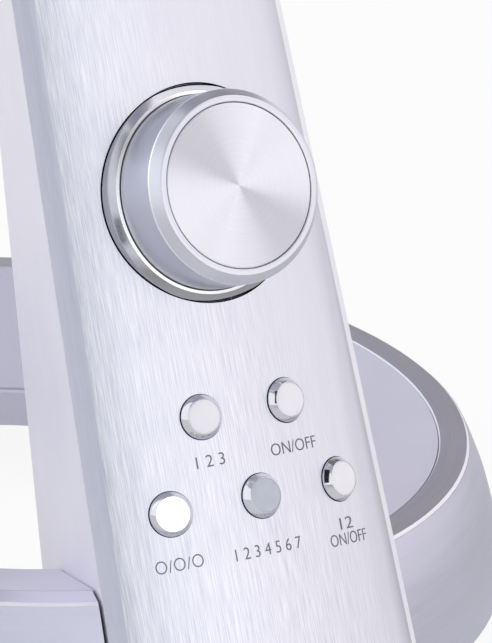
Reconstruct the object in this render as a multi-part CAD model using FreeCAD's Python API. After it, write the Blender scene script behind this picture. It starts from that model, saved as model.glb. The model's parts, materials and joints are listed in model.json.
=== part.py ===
import FreeCAD, Part
import math
import os

# Desk lamp: a ring base with a lit dish, a leaning wedge column with a dimmer knob
# and five push buttons, and a flat light bar on a tilting and swivelling neck.
# All sizes in millimetres, angles in degrees. +Z up, the controls face -Y.

V = FreeCAD.Vector
X_AXIS, Y_AXIS, Z_AXIS = V(1, 0, 0), V(0, 1, 0), V(0, 0, 1)

# Base ring
rim_radius = 100.0
rim_height = 34.4
wall_bulge_radius = 72.0
base_wall = 2.5
rim_width = 6.7
rim_thickness = 2.0
rim_edge = 0.4
dish_slope = 18.0
dish_thickness = 2.5
ring_width = 49.7
collar_wall = 1.2
collar_height = 8.4
foot_height = 2.0
plate_thickness = 1.5
pan_slope_width = 20.5
pan_flange = 4.0
pan_bend = 0.5
link_margin = 16.0
link_setback = 14.0
link_depth = 23.0
ballast_gap = 1.0
tray_wall = 1.6
tray_gap = 1.0
ring_board_width = 26.0
board_thickness = 1.6
night_led_size = 3.2
night_led_height = 1.4
night_led_count = 18
night_led_angle = 290.0
rubber_foot_radius = 7.0
rubber_foot_edge = 0.6
rubber_foot_count = 5
rubber_foot_angle = 240.0
front_pad_setback = 12.3
inlet_width = 9.0
inlet_depth = 13.0
inlet_height = 10.0
inlet_setback = 1.0
inlet_nose_step = 0.5
inlet_bore_radius = 3.2
inlet_floor = 3.0
inlet_pin_radius = 1.0
inlet_pin_recess = 1.5
inlet_recess = 0.6

# Column
column_lean = 24.65
front_step = 5.6
front_radius = 84.0
front_half_width = 33.9
front_taper = 0.035
edge_chamfer = 2.9
side_angle = 20.9
foot_depth = 84.9
depth_taper = 0.325
blade_depth = 18.0
column_length = 385.0
panel_thickness = 2.0
shell_wall = 2.5

# Knob
knob_height = 85.0
knob_radius = 20.5
knob_reach = 14.3
knob_chamfer_width = 1.7
knob_chamfer_height = 2.4
knob_ring_width = 1.35
knob_wall = 3.2
knob_sink = 1.5
knob_boss_wall = 3.0
knob_rib_count = 6
knob_rib_width = 1.6
knob_rib_low = 1.0
disc_thickness = 1.2
disc_groove = 0.2
disc_edge = 0.3
disc_relief = 0.15
bezel_gap = 0.3
bezel_wall = 2.2
bezel_rise = 0.3
bezel_edge = 1.3
bezel_flange = 3.0
bezel_depth = 9.0
bezel_floor = 2.0
shaft_radius = 2.95
shaft_flat = 1.5
shaft_grip = 4.0
bush_radius = 4.5
bush_drop = 0.8
encoder_size = 12.0
encoder_depth = 6.8
encoder_floor = 1.5
nut_height = 2.2
nut_flats = 12.0

# Buttons
button_radius = 4.7
button_proud = 1.8
button_edge = 1.4
button_clearance = 0.15
button_travel = 0.8
button_flange = 0.9
button_flange_height = 1.0
button_flange_drop = 0.4
button_stem_length = 1.8
button_stem_radius = 1.5
lens_radius = 3.6
lens_thickness = 0.8
lens_edge = 0.3
upper_row_height = 39.1
lower_row_height = 20.5
upper_row_spread = 10.5
lower_row_spread = 20.9
switch_size = 6.0
switch_height = 3.5
switch_dome = 0.15
carrier_thickness = 5.0
carrier_margin = 7.0
control_board_width = 46.0
board_post_radius = 1.5
loom_radius = 2.0

# Column foot and driver
foot_block_height = 12.0
foot_pocket_wall = 9.0
foot_pocket_floor = 5.0
foot_screw_setback = 21.8
foot_screw_spacing = 45.0
foot_screw_margin = 8.5
foot_screw_rear_spread = 11.9
foot_screw_depth = 8.0
driver_board_setback = 29.8
driver_board_length = 62.0
driver_board_rise = 4.0
driver_board_gap = 1.5
driver_coil_setback = 51.8
driver_part_gap = 3.0
driver_cap_radius = 4.0
driver_cap_height = 14.0
driver_coil_size = 15.0
driver_coil_height = 11.0

# Screws
screw_radius = 1.5
screw_head_radius = 2.8
screw_head_height = 1.3
screw_head_stand = 0.26
screw_length = 9.0
screw_boss_radius = 3.2
base_screw_count = 6
base_screw_angle = 270.0

# Neck
yoke_plug_length = 24.0
yoke_flange = 3.0
yoke_screw_spread = 8.0
hinge_rise = 14.0
ear_radius = 11.0
ear_thickness = 5.0
ear_edge = 0.8
ear_post_setback = 0.6
knuckle_radius = 10.5
knuckle_half_width = 13.0
hinge_washer = 0.8
hinge_washer_step = 1.5
pin_radius = 3.0
pin_head_radius = 5.0
pin_head_height = 2.0
cap_radius = 8.0
cap_height = 1.6
cap_edge = 0.7
platform_radius = 17.0
platform_rise = 14.0
platform_thickness = 4.0
platform_edge = 1.5
neck_radius = 11.0
swivel_washer = 1.0
swivel_washer_step = 3.0
spindle_radius = 4.0
spindle_depth = 8.0
spindle_floor = 0.5
spindle_head_radius = 8.0
spindle_head_height = 2.4

# Head
head_length = 400.0
head_rear_overhang = 30.0
head_rear_half_width = 30.0
head_tip_half_width = 24.0
head_height = 13.0
head_wall = 1.6
head_roof = 2.0
head_tip_corner = 6.0
mount_plate_length = 78.0
mount_plate_thickness = 2.4
head_diffuser_thickness = 2.5
head_board_thickness = 1.6
head_board_margin = 6.0
head_board_setback = 4.0
head_boss_radius = 3.0
head_screw_spread = 18.0
head_screw_margin = 8.0
head_led_count = 22
head_led_size = 3.5
head_led_height = 1.0
head_led_margin = 18.0
head_led_spread = 10.8
reflector_thickness = 0.5
reflector_window = 0.3

# Fits
running = 0.08
press_fit = 0.02
screw_play = 0.03
head_play = 0.1
seat_gap = 0.1
part_gap = 0.3
plate_gap = 0.4
head_fit = 0.15
bezel_fit = 0.05
slot_clearance = 0.8
slot_margin = 1.0
cut_margin = 1.0

# Sizes that follow from those above
hole_radius = rim_radius - ring_width
front_offset = rim_radius + front_step
knob_recess_radius = knob_radius - knob_chamfer_width - knob_ring_width
disc_radius = knob_recess_radius - disc_groove
bezel_inner = knob_radius + bezel_gap
bezel_radius = bezel_inner + bezel_wall
control_board_depth = bezel_depth + encoder_depth + 2 * seat_gap
reach = column_length + head_length


def slope(angle):
    return math.tan(math.radians(angle))


def box(x0, x1, y0, y1, z0, z1):
    return Part.makeBox(x1 - x0, y1 - y0, z1 - z0, V(x0, y0, z0))


def rod(radius, start, end):
    axis = end.sub(start)
    return Part.makeCylinder(radius, axis.Length, start, axis)


def tube(outer, inner, start, end):
    return rod(outer, start, end).cut(rod(inner, start, end))


def turned(profile):
    """A solid of revolution about Z from (radius, height) points."""
    points = [V(r, 0, z) for r, z in profile]
    face = Part.Face(Part.makePolygon(points + points[:1]))
    return face.revolve(V(0, 0, 0), Z_AXIS, 360)


def facing_front(shape):
    """Turns a piece made along +Z so that its top points out of the front."""
    out = shape.copy()
    out.rotate(V(0, 0, 0), X_AXIS, 90)
    return out


def moved(shape, offset):
    out = shape.copy()
    out.translate(offset)
    return out


def hex_nut(flats, bore, height):
    corner = flats / math.sqrt(3)
    points = [V(corner * math.cos(a), corner * math.sin(a), 0)
              for a in [math.radians(60 * k) for k in range(6)]]
    prism = Part.Face(Part.makePolygon(points + points[:1])).extrude(V(0, 0, height))
    return prism.cut(rod(bore, V(0, 0, 0), V(0, 0, height)))


def clear_hole(radius, place):
    """An upright through hole at (x, y), cut from below the desk to above the lamp."""
    return rod(radius, V(place[0], place[1], -reach), V(place[0], place[1], reach))


def screw(tip, direction):
    """A flat-headed screw whose head ends at tip and whose shank runs along direction."""
    head = tip + direction * screw_head_height
    shank = rod(screw_radius, head, tip + direction * screw_length)
    return rod(screw_head_radius, tip, head).fuse(shank)


# Column frame: z runs up the front, y runs into the column, y = 0 on the crown

column_place = FreeCAD.Placement(V(0, -front_offset, rim_height),
                                 FreeCAD.Rotation(X_AXIS, -column_lean))
lean_in = column_place.Rotation.multVec(Y_AXIS)


def on_column(shape):
    out = shape.copy()
    out.Placement = column_place.multiply(out.Placement)
    return out


def half_width(z):
    return front_half_width - front_taper * z


def sag(x):
    """How far the curved front falls back at a distance x from its crown."""
    return front_radius - math.sqrt(front_radius ** 2 - x ** 2)


edge_depth_low = sag(half_width(0)) + edge_chamfer
edge_depth_high = sag(half_width(column_length)) + edge_chamfer
blade_start = (foot_depth - blade_depth) / depth_taper


def edge_depth(z):
    return edge_depth_low + (edge_depth_high - edge_depth_low) * z / column_length


def back_depth(z):
    return max(blade_depth, foot_depth - depth_taper * z)


def wedge_section(z, inset):
    """Outline of the column at height z, drawn in by inset, with its front left open wide."""
    lean = slope(side_angle)
    side = half_width(z) + edge_chamfer - inset / math.cos(math.radians(side_angle))
    edge = edge_depth(z) + inset * (math.sqrt(2) - 1 / math.cos(math.radians(side_angle)))
    sides_meet = edge + (side - shell_wall / 2) / lean
    back = min(back_depth(z) - inset, sides_meet)
    back_side = side - (back - edge) * lean
    run = edge + cut_margin
    front = side - run
    return [V(side, edge, z), V(front, edge - run, z), V(-front, edge - run, z),
            V(-side, edge, z), V(-back_side, back, z), V(back_side, back, z)]


def prism(low, high):
    """A solid with flat faces between two outlines of as many points."""
    faces = [Part.Face(Part.makePolygon(ends + ends[:1])) for ends in (low, high)]
    for k in range(len(low)):
        n = (k + 1) % len(low)
        faces.append(Part.Face(Part.makePolygon([low[k], low[n], high[n], high[k], low[k]])))
    return Part.makeSolid(Part.makeShell(faces))


def wedge(inset, low, high):
    knee = min(max(blade_start, low), high)
    out = prism(wedge_section(low, inset), wedge_section(knee, inset))
    if high > knee:
        upper = prism(wedge_section(knee, inset), wedge_section(high, inset))
        out = out.fuse(upper).removeSplitter()
    return out


def front_cylinder(inset, low, high):
    return Part.makeCylinder(front_radius - inset, high - low, V(0, front_radius, low))


def column_body(side_inset, front_inset, low, high):
    return wedge(side_inset, low, high).common(front_cylinder(front_inset, low, high))


column_low = -(rim_height + foot_block_height) / math.cos(math.radians(column_lean))
plate_top = foot_height + plate_thickness
column_bottom = plate_top + seat_gap
toe_y = -front_offset - rim_height * slope(column_lean)


def above(z):
    return box(-reach, reach, -reach, reach, z, z + 2 * reach)


def column_slot(clearance):
    body = column_body(-clearance, -clearance, column_low, blade_start)
    return on_column(body)


# Buttons

class Button:
    def __init__(self, name, across, height):
        self.name = name
        self.turn = math.degrees(math.asin(across / front_radius))
        self.seat = V(across, sag(across), height)

    def place(self, shape):
        """Moves a piece made along +Z, outwards, to this button's seat on the column."""
        out = facing_front(shape)
        out.rotate(V(0, 0, 0), Z_AXIS, self.turn)
        out.translate(self.seat)
        return out


buttons = [Button("colour_temperature", -upper_row_spread, upper_row_height),
           Button("power", upper_row_spread, upper_row_height),
           Button("rgb", -lower_row_spread, lower_row_height),
           Button("night_light", 0.0, lower_row_height),
           Button("night_light_power", lower_row_spread, lower_row_height)]

flange_front = -(panel_thickness + button_flange_drop)
flange_back = flange_front - button_flange_height
stem_end = flange_back - button_stem_length
switch_top = stem_end - button_travel - 2 * seat_gap
lens_pocket_radius = lens_radius + seat_gap / 2


def button_cap():
    outer = turned([(0, flange_back), (button_radius + button_flange, flange_back),
                    (button_radius + button_flange, flange_front),
                    (button_radius, flange_front),
                    (button_radius, button_proud - button_edge),
                    (lens_pocket_radius, button_proud), (0, button_proud)])
    pocket = rod(lens_pocket_radius, V(0, 0, button_proud - lens_thickness),
                 V(0, 0, button_proud + cut_margin))
    stem = rod(button_stem_radius, V(0, 0, stem_end), V(0, 0, flange_back))
    return outer.cut(pocket).fuse(stem)


def button_lens():
    low = button_proud - lens_thickness
    return turned([(0, low), (lens_radius, low), (lens_radius, button_proud - lens_edge / 2),
                   (lens_radius - lens_edge, button_proud), (0, button_proud)])


def button_hole(clearance):
    """Cuts from well outside the front panel to the back of the button carrier."""
    depth = panel_thickness + carrier_thickness + sag(lower_row_spread)
    return rod(button_radius + clearance, V(0, 0, -depth), V(0, 0, depth))


def tact_switch():
    half = switch_size / 2
    body = box(-half, half, -half, half, switch_top - switch_height, switch_top)
    dome = rod(button_stem_radius, V(0, 0, switch_top), V(0, 0, switch_top + switch_dome))
    return body.fuse(dome)


def button_carrier():
    width = lower_row_spread + carrier_margin
    low = lower_row_height - carrier_margin
    high = upper_row_height + carrier_margin
    block = front_cylinder(panel_thickness + seat_gap, low, high)
    block = block.cut(front_cylinder(panel_thickness + carrier_thickness, low, high))
    block = block.common(box(-width, width, 0, front_radius, low, high))
    for button in buttons:
        block = block.cut(button.place(button_hole(button_flange + part_gap)))
    return block


# Knob

def knob_body():
    """Hollow knob with a ribbed inside, a D bore for the shaft and a recess for its disc."""
    face = knob_radius - knob_chamfer_width
    floor = knob_reach - disc_thickness - seat_gap / 2
    hollow = knob_radius - knob_wall
    bore = shaft_radius + press_fit
    boss = shaft_radius + knob_boss_wall
    body = turned([(knob_radius, -knob_sink), (knob_radius, knob_reach - knob_chamfer_height),
                   (face, knob_reach), (knob_recess_radius, knob_reach),
                   (knob_recess_radius, floor), (0, floor), (0, floor - shaft_grip),
                   (bore, floor - shaft_grip), (bore, 0), (boss, 0), (boss, floor - knob_wall),
                   (hollow, floor - knob_wall), (hollow, -knob_sink)])
    side = box(shaft_radius - shaft_flat + press_fit, boss, -boss, boss, 0, floor - knob_wall)
    body = body.fuse(side.common(rod(boss, V(0, 0, 0), V(0, 0, floor))))
    half = knob_rib_width / 2
    for k in range(knob_rib_count):
        rib = box((bore + boss) / 2, (hollow + knob_radius) / 2, -half, half,
                  knob_rib_low, floor - knob_wall)
        rib.rotate(V(0, 0, 0), Z_AXIS, 360 * (k + 0.5) / knob_rib_count)
        body = body.fuse(rib)
    return body


def knob_disc():
    """Spun disc, dished by a hair, in the recess of the knob's face."""
    low = knob_reach - disc_thickness
    return turned([(0, low), (disc_radius, low), (disc_radius, knob_reach - disc_relief),
                   (disc_radius - disc_edge, knob_reach), (0, knob_reach - disc_relief)])


bush_bottom = -bezel_depth - seat_gap
encoder_bottom = bush_bottom - encoder_depth


def knob_bezel():
    """Chromed cup round the knob, flanged behind the curved front."""
    hole = bush_radius + seat_gap
    floor = bezel_floor - bezel_depth
    cup = at_knob(turned([(hole, -bezel_depth), (bezel_radius, -bezel_depth),
                          (bezel_radius, bezel_rise - bezel_edge / 2),
                          (bezel_radius - bezel_edge, bezel_rise), (bezel_inner, bezel_rise),
                          (bezel_inner, floor), (hole, floor)]))
    flange = at_knob(tube(bezel_radius + bezel_flange, bezel_radius - bezel_wall / 2,
                          V(0, 0, -bezel_depth), V(0, 0, bezel_depth)))
    behind = front_cylinder(panel_thickness + seat_gap, 0, column_length)
    return cup.fuse(flange.common(behind))


def at_knob(shape):
    return moved(facing_front(shape), V(0, 0, knob_height))


def encoder_body():
    half = encoder_size / 2
    body = box(-half, half, -half, half, encoder_bottom, bush_bottom)
    bush = rod(bush_radius, V(0, 0, bush_bottom), V(0, 0, -knob_sink - bush_drop))
    bore = rod(shaft_radius + running, V(0, 0, encoder_bottom + encoder_floor), V(0, 0, 0))
    return at_knob(body.fuse(bush).cut(bore))


def encoder_shaft():
    """Shaft with a flat on the length that the knob grips."""
    low = encoder_bottom + encoder_floor + seat_gap
    top = knob_reach - disc_thickness - shaft_grip - part_gap
    shaft = rod(shaft_radius, V(0, 0, low), V(0, 0, top))
    flat = box(shaft_radius - shaft_flat, shaft_radius, -shaft_radius, shaft_radius,
               -knob_sink, top)
    return at_knob(shaft.cut(flat))


def encoder_nut():
    nut = hex_nut(nut_flats, bush_radius + press_fit, nut_height)
    return at_knob(moved(nut, V(0, 0, bezel_floor - bezel_depth + press_fit)))


# Column pieces

def front_panel():
    panel = column_body(0, 0, column_low, column_length)
    panel = panel.cut(front_cylinder(panel_thickness, column_low - cut_margin,
                                     column_length + cut_margin))
    panel = panel.cut(at_knob(rod(bezel_radius + bezel_fit, V(0, 0, -bezel_radius),
                                  V(0, 0, bezel_radius))))
    for button in buttons:
        panel = panel.cut(button.place(button_hole(button_clearance)))
    return on_column(panel).common(above(column_bottom))


def column_shell():
    outer = column_body(0, panel_thickness + seat_gap, column_low, column_length)
    inner = wedge(shell_wall, column_low - cut_margin, column_length + cut_margin)
    return on_column(outer.cut(inner)).common(above(column_bottom))


def inner_column(low, high, gap):
    return column_body(shell_wall + gap, panel_thickness + gap, low, high)


def column_foot():
    """Cast block that the column stands on and the base plate is screwed to."""
    block = on_column(inner_column(column_low, blade_start, seat_gap))
    pocket = on_column(inner_column(column_low, blade_start, foot_pocket_wall))
    block = block.common(above(column_bottom)).cut(above(column_bottom + foot_block_height))
    block = block.cut(pocket.common(above(column_bottom + foot_pocket_floor)))
    for x, y in foot_screw_places():
        hole = rod(screw_radius + screw_play, V(x, y, 0),
                   V(x, y, column_bottom + foot_screw_depth))
        block = block.cut(hole)
    return block


def foot_screw_places():
    front_y = toe_y + foot_screw_setback
    back_y = front_y + foot_screw_spacing
    wide = front_half_width - foot_screw_margin
    return [(-wide, front_y), (wide, front_y),
            (-foot_screw_rear_spread, back_y), (foot_screw_rear_spread, back_y)]


driver_board_low = column_bottom + foot_block_height + driver_board_rise
driver_board_top = driver_board_low + board_thickness


def driver_board():
    """Board across the column's foot, on posts over the foot block."""
    front_y = toe_y + driver_board_setback
    slab = box(-reach, reach, front_y, front_y + driver_board_length,
               driver_board_low, driver_board_top)
    board = slab.common(on_column(inner_column(column_low, blade_start, driver_board_gap)))
    for x, y in foot_screw_places():
        if y > front_y + screw_head_radius:
            board = board.fuse(rod(screw_radius, V(x, y, driver_board_low - driver_board_rise),
                                   V(x, y, driver_board_low)))
    return board


def driver_parts():
    """Coil and two capacitors on the driver board."""
    y = toe_y + driver_coil_setback
    half = driver_coil_size / 2
    solids = [box(-half, half, y, y + driver_coil_size, driver_board_top,
                  driver_board_top + driver_coil_height)]
    side = driver_cap_radius + driver_part_gap / 2
    back = y + driver_coil_size + driver_part_gap + driver_cap_radius
    for x in (-side, side):
        foot = V(x, back, driver_board_top)
        solids.append(rod(driver_cap_radius, foot, foot + Z_AXIS * driver_cap_height))
    return Part.makeCompound(solids)


control_board_low = lower_row_height - carrier_margin
control_board_high = knob_height + encoder_size


def control_board():
    """Board behind the controls, on posts from the button carrier."""
    half = control_board_width / 2
    y = control_board_depth
    board = box(-half, half, y, y + board_thickness, control_board_low, control_board_high)
    behind = front_cylinder(panel_thickness + carrier_thickness + seat_gap,
                            control_board_low, control_board_high)
    between = (upper_row_spread + lower_row_spread + switch_size) / 2
    places = [(between, upper_row_height + switch_size / 2),
              (upper_row_spread, lower_row_height)]
    for across, z in places:
        for x in (-across, across):
            post = rod(board_post_radius, V(x, 0, z), V(x, y, z))
            board = board.fuse(post.common(behind))
    return board


def wire_loom():
    """Bundle of wires from the control board up the blade to the neck."""
    start = V(0, control_board_depth - part_gap, control_board_high + part_gap)
    end = V(0, hinge_depth, column_length - yoke_plug_length - part_gap)
    return on_column(rod(loom_radius, start, end))


# Base ring pieces

wall_centre = rim_radius - math.sqrt(wall_bulge_radius ** 2 - rim_height ** 2)


def wall_radius(z, inset=0.0):
    return wall_centre + math.sqrt((wall_bulge_radius - inset) ** 2 - z ** 2)


rim_inner = rim_radius - rim_width
screw_circle = rim_inner + screw_boss_radius
tray_outer = rim_inner - tray_gap
dish_outer = rim_inner - part_gap
dish_inner = hole_radius + collar_wall + part_gap


def dish_height(radius):
    return rim_height - (rim_inner - radius) * slope(dish_slope)


hole_top = dish_height(hole_radius)
hole_bottom = hole_top - collar_height
ballast_top = hole_bottom + plate_thickness + seat_gap
tray_floor = ballast_top + tray_wall
ring_board_top = tray_floor + board_thickness
pan_inner = hole_radius + collar_wall + seat_gap
pan_knee = pan_inner + pan_flange
pan_flat = pan_knee + pan_slope_width


def turned_wall(low, high, inset):
    """Disc whose edge follows the bulged side wall between two heights."""
    arc = Part.Arc(V(wall_radius(low, inset), 0, low),
                   V(wall_radius((low + high) / 2, inset), 0, (low + high) / 2),
                   V(wall_radius(high, inset), 0, high)).toShape()
    lines = Part.makePolygon([V(wall_radius(high, inset), 0, high), V(0, 0, high),
                              V(0, 0, low), V(wall_radius(low, inset), 0, low)])
    face = Part.Face(Part.Wire([arc] + lines.Edges))
    return face.revolve(V(0, 0, 0), Z_AXIS, 360)


def base_housing():
    low, high = foot_height, rim_height
    beyond = rim_radius + base_wall
    outer = turned_wall(low, high, 0)
    edge = turned([(rim_radius - rim_edge, high), (beyond, high), (beyond, high - rim_edge * 2),
                   (rim_radius + rim_edge / 2, high - rim_edge * 1.5)])
    inner = turned_wall(low - cut_margin, high - rim_thickness, base_wall)
    mouth = rod(rim_inner, V(0, 0, low - cut_margin), V(0, 0, high + cut_margin))
    bevel = turned([(0, high - rim_edge), (rim_inner, high - rim_edge),
                    (rim_inner + rim_edge, high), (rim_inner + rim_edge, high + cut_margin),
                    (0, high + cut_margin)])
    ring = outer.cut(edge).cut(inner).cut(mouth).cut(bevel)
    for angle in screw_angles():
        ring = ring.fuse(screw_boss(angle).common(inner).cut(mouth))
    for angle in screw_angles():
        ring = ring.cut(screw_hole(angle))
    ring = ring.cut(column_slot(slot_clearance))
    return ring.cut(inlet_hole())


def spread_angles(span, count):
    """Evenly spaced angles over a span whose gap is centred on the column, at -90."""
    return [-90 + (360 - span) / 2 + span * k / (count - 1) for k in range(count)]


def screw_angles():
    return spread_angles(base_screw_angle, base_screw_count)


def around(radius, angle, z):
    turn = math.radians(angle)
    return V(radius * math.cos(turn), radius * math.sin(turn), z)


def screw_boss(angle):
    return rod(screw_boss_radius, around(screw_circle, angle, plate_top + seat_gap),
               around(screw_circle, angle, rim_height))


def screw_hole(angle):
    return rod(screw_radius + screw_play, around(screw_circle, angle, 0),
               around(screw_circle, angle, foot_height + screw_length + cut_margin))


def night_light_diffuser():
    top = [(dish_outer, dish_height(dish_outer)), (dish_inner, dish_height(dish_inner))]
    dish = turned(top + [(r, z - dish_thickness) for r, z in reversed(top)])
    return dish.cut(column_slot(part_gap))


def inner_collar():
    edge = collar_wall / 4
    collar = turned([(hole_radius, hole_bottom), (hole_radius + collar_wall, hole_bottom),
                     (hole_radius + collar_wall, hole_top), (hole_radius + edge, hole_top),
                     (hole_radius, hole_top - edge)])
    return collar.cut(column_slot(slot_clearance))


def head_seats(places):
    """Counterbores in the underside for screw heads at the given places."""
    seats = [rod(screw_head_radius + head_play, V(x, y, 0),
                 V(x, y, foot_height + screw_head_height - screw_head_stand))
             for x, y in places]
    return Part.makeCompound(seats)


def base_plate():
    """Steel pan under the ring, carried on under the column as its foot plate."""
    t, low, high = plate_thickness, foot_height, hole_bottom
    rim = wall_radius(foot_height, base_wall) - seat_gap
    pan = turned([(pan_inner, high), (pan_knee, high), (pan_flat, low), (rim, low),
                  (rim, low + t), (pan_flat + pan_bend, low + t), (pan_knee + pan_bend, high + t),
                  (pan_inner, high + t)])
    pan = pan.cut(column_slot(slot_clearance))
    foot = on_column(column_body(plate_gap, plate_gap, column_low, blade_start))
    pan = pan.fuse(foot.common(above(low)).cut(above(low + t)))
    link_half = front_half_width + link_margin
    link_front = link_setback - rim
    link = box(-link_half, link_half, link_front, link_front + link_depth, low, low + t)
    flat_hole = clear_hole(pan_flat, (0, 0))
    pan = pan.fuse(link.common(clear_hole(rim, (0, 0))).cut(flat_hole))
    ring_places = [around(screw_circle, angle, 0) for angle in screw_angles()]
    places = [(p.x, p.y) for p in ring_places] + foot_screw_places()
    for place in places:
        pan = pan.cut(clear_hole(screw_radius + screw_play, place))
    return pan.cut(head_seats(places)).removeSplitter()


def base_screws():
    low = foot_height - screw_head_stand
    tips = [around(screw_circle, angle, low) for angle in screw_angles()]
    return Part.makeCompound([screw(tip, Z_AXIS) for tip in tips])


def foot_screws():
    low = foot_height - screw_head_stand
    return Part.makeCompound([screw(V(x, y, low), Z_AXIS) for x, y in foot_screw_places()])


def ballast_ring():
    """Iron ring that follows the pan's cone, notched for the inlet and the column."""
    inset = pan_bend + ballast_gap
    ring = turned([(pan_flat + inset, plate_top), (tray_outer, plate_top),
                   (tray_outer, ballast_top), (pan_knee + inset, ballast_top)])
    ring = ring.cut(column_slot(slot_clearance + slot_margin))
    half = inlet_width / 2 + ballast_gap
    notch = box(-half, half, inlet_back() - inlet_depth - ballast_gap, reach, 0, reach)
    return ring.cut(notch)


def reflector_tray():
    """White tray on the ballast that carries the ring board and the dish."""
    inner = dish_inner + seat_gap
    lip_in, lip_out = inner + tray_wall, tray_outer - tray_wall
    under = dish_thickness + seat_gap
    high_in = dish_height(inner) - under
    high_out = dish_height(tray_outer) - under
    tray = turned([(inner, ballast_top), (tray_outer, ballast_top), (tray_outer, high_out),
                   (lip_out, dish_height(lip_out) - under), (lip_out, tray_floor),
                   (lip_in, tray_floor), (lip_in, high_in), (inner, high_in)])
    return tray.cut(column_slot(slot_clearance))


ring_middle = (dish_inner + rim_inner) / 2


def led_ring_board():
    half = ring_board_width / 2
    board = tube(ring_middle + half, ring_middle - half, V(0, 0, tray_floor),
                 V(0, 0, ring_board_top))
    return board.cut(column_slot(slot_clearance + slot_margin))


def night_light_leds():
    """Square packages round the ring board, none of them over the column."""
    half = night_led_size / 2
    leds = []
    for angle in spread_angles(night_led_angle, night_led_count):
        led = box(-half, half, -half, half, ring_board_top, ring_board_top + night_led_height)
        led.translate(V(ring_middle, 0, 0))
        led.rotate(V(0, 0, 0), Z_AXIS, angle)
        leds.append(led)
    return Part.makeCompound(leds)


def rubber_foot(place):
    """Moulded pad with a softened edge."""
    r, h, edge = rubber_foot_radius, foot_height, rubber_foot_edge
    return moved(turned([(0, 0), (r - edge, 0), (r, edge), (r, h), (0, h)]), place)


def rubber_feet():
    circle = rim_inner - rubber_foot_radius
    places = [around(circle, angle, 0)
              for angle in spread_angles(rubber_foot_angle, rubber_foot_count)]
    places.append(V(0, toe_y + front_pad_setback, 0))
    return Part.makeCompound([rubber_foot(place) for place in places])


inlet_middle = plate_top + inlet_height / 2


def inlet_back():
    """The inner end of the inlet's nose, where its body meets the side wall."""
    return wall_radius(plate_top + inlet_height, base_wall) - inlet_setback


def inlet_face():
    """Where the inlet's nose ends, a little behind the side wall's outer face."""
    return wall_radius(inlet_middle) - inlet_recess


def inlet_hole():
    return rod(inlet_width / 2 - inlet_nose_step + head_play, V(0, rim_inner, inlet_middle),
               V(0, rim_radius + wall_bulge_radius, inlet_middle))


def dc_inlet():
    """Socket for a round low-voltage plug, with its centre pin."""
    face, back = inlet_face(), inlet_back()
    half = inlet_width / 2
    floor = back - inlet_depth + inlet_floor
    body = box(-half, half, back - inlet_depth, back, plate_top, plate_top + inlet_height)
    nose = rod(half - inlet_nose_step, V(0, back - inlet_setback, inlet_middle),
               V(0, face, inlet_middle))
    bore = rod(inlet_bore_radius, V(0, floor, inlet_middle),
               V(0, face + cut_margin, inlet_middle))
    pin = rod(inlet_pin_radius, V(0, floor - inlet_floor / 2, inlet_middle),
              V(0, face - inlet_pin_recess, inlet_middle))
    return body.fuse(nose).cut(bore).fuse(pin)


# Neck

hinge_height = column_length + hinge_rise
hinge_depth = blade_depth / 2
hinge_centre = column_place.multVec(V(0, hinge_depth, hinge_height))
washer_outside = knuckle_half_width + hinge_washer + seat_gap
ear_inside = washer_outside + seat_gap
ear_outside = ear_inside + ear_thickness


def hinge_rod(radius, start, end):
    """A rod along the hinge, before the column is leant."""
    return rod(radius, V(start, hinge_depth, hinge_height), V(end, hinge_depth, hinge_height))


def yoke_ear(side):
    """One upright ear with a round eye whose outer edge is chamfered."""
    eye = turned([(0, ear_inside), (ear_radius, ear_inside), (ear_radius, ear_outside - ear_edge),
                  (ear_radius - ear_edge, ear_outside), (0, ear_outside)])
    eye.rotate(V(0, 0, 0), Y_AXIS, 90 * side)
    eye = moved(eye, V(0, hinge_depth, hinge_height))
    x0, x1 = sorted((side * ear_inside, side * (ear_outside - ear_edge)))
    post = box(x0, x1, ear_post_setback, blade_depth - ear_post_setback,
               column_length + seat_gap, hinge_height)
    return post.fuse(eye)


def column_yoke():
    """Casting in the column's top with the two ears of the tilt hinge."""
    plug = inner_column(column_length - yoke_plug_length, column_length + cut_margin, seat_gap)
    flange = column_body(0, 0, column_length + seat_gap, column_length + yoke_flange)
    body = plug.fuse(flange).fuse(yoke_ear(1)).fuse(yoke_ear(-1))
    body = body.cut(hinge_rod(knuckle_radius + part_gap, -ear_inside, ear_inside))
    body = body.cut(hinge_rod(pin_radius + press_fit, -ear_outside, ear_outside))
    for side in (-1, 1):
        body = body.cut(hinge_rod(pin_head_radius + head_play, side * ear_outside,
                                  side * (ear_outside - pin_head_height)))
    for place in yoke_screw_places():
        body = body.cut(rod(screw_radius + screw_play, place, place - Y_AXIS * screw_length))
    return on_column(body)


def yoke_screw_places():
    z = column_length - yoke_plug_length / 2
    return [V(x, back_depth(z), z) for x in (-yoke_screw_spread, yoke_screw_spread)]


def yoke_screws():
    solids = [screw(place + Y_AXIS * screw_head_stand, -Y_AXIS) for place in yoke_screw_places()]
    return on_column(Part.makeCompound(solids))


def shell_with_screw_holes():
    """The rear shell with two counterbored holes for the yoke's screws."""
    shell = column_shell()
    for place in yoke_screw_places():
        outside = place + Y_AXIS * cut_margin
        hole = rod(screw_radius + screw_play, outside, place - Y_AXIS * (shell_wall + cut_margin))
        seat = rod(screw_head_radius + bezel_fit, outside,
                   place - Y_AXIS * (screw_head_height - screw_head_stand))
        shell = shell.cut(on_column(hole.fuse(seat)))
    return shell


def hinge_pin():
    start = V(seat_gap - ear_outside, 0, 0)
    head = rod(pin_head_radius, start, start + X_AXIS * (pin_head_height - seat_gap))
    shank = rod(pin_radius, start, V(ear_outside - 2 * seat_gap, 0, 0))
    return moved(head.fuse(shank), hinge_centre)


def hinge_nut():
    nut = tube(pin_head_radius, pin_radius + press_fit,
               V(ear_outside - pin_head_height + seat_gap, 0, 0), V(ear_outside - seat_gap, 0, 0))
    return moved(nut, hinge_centre)


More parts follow.
